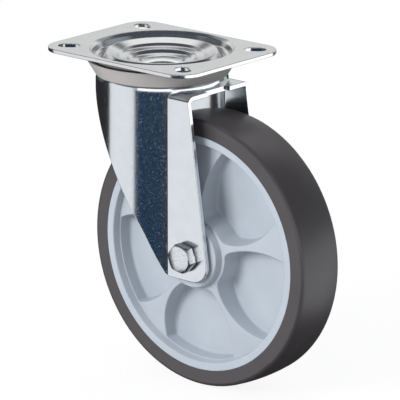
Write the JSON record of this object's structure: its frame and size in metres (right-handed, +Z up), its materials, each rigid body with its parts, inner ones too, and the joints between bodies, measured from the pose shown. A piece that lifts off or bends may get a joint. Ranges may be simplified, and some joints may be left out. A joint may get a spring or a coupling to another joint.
{
  "type": "swivel castor",
  "caption": "Swivel castor: slotted top plate with a pressed dish, drawn steel fork, and a large grey moulded wheel with curved spokes and a dark rubber tyre.",
  "frame": {"origin": "where the swivel axis meets the top face of the plate, with the fork trailing towards +X", "axes": "+Z up out of the plate along the swivel axis, +X towards the trailing wheel, +Y along the axle towards the nut"},
  "size_m": [0.221, 0.112, 0.24],
  "materials": {
    "bright_zinc": "bright zinc plated pressed steel",
    "blue_zinc": "blue passivated bright zinc on drawn steel sheet",
    "bolt_zinc": "zinc plated steel",
    "bearing_steel": "hardened and ground steel",
    "ring_grey": "matt warm grey",
    "nylon": "natural nylon",
    "wheel_grey": "moulded blue grey polypropylene, fine satin",
    "tyre_rubber": "dark grey rubber, satin"
  },
  "bodies": {
    "plate": {"top_plate": "bright_zinc", "king_rivet": "bright_zinc", "lower_race": "bright_zinc"},
    "ball_rows": {"upper_balls": "bearing_steel", "lower_balls": "bearing_steel"},
    "swivel_fork": {"fork": "blue_zinc", "dust_ring": "ring_grey", "axle_bolt": "bolt_zinc", "nut_washer": "bolt_zinc", "axle_nut": "bolt_zinc", "nut_insert": "nylon", "axle_tube": "bearing_steel", "thrust_washer_near": "bearing_steel", "thrust_washer_far": "bearing_steel"},
    "roller_set": {"roller_cage": "nylon", "rollers": "bearing_steel"},
    "wheel": {"wheel_centre": "wheel_grey", "hub_cap_near": "wheel_grey", "hub_cap_far": "wheel_grey", "tyre": "tyre_rubber"}
  },
  "joints": [
    {"name": "swivel", "type": "hinge", "parent": "plate", "child": "swivel_fork", "pos_m": [0, 0, 0], "axis": [0, 0, 1], "continuous": true},
    {"name": "ball_roll", "type": "hinge", "parent": "plate", "child": "ball_rows", "pos_m": [0, 0, 0], "axis": [0, 0, 1], "continuous": true},
    {"name": "wheel_roll", "type": "hinge", "parent": "swivel_fork", "child": "wheel", "pos_m": [0.051, 0, -0.14], "axis": [0, 1, 0], "continuous": true},
    {"name": "roller_orbit", "type": "hinge", "parent": "swivel_fork", "child": "roller_set", "pos_m": [0.051, 0, -0.14], "axis": [0, 1, 0], "continuous": true}
  ],
  "couplings": [
    {"joint": "ball_roll", "follows": "swivel", "ratio": 0.5},
    {"joint": "roller_orbit", "follows": "wheel_roll", "ratio": 0.6}
  ]
}
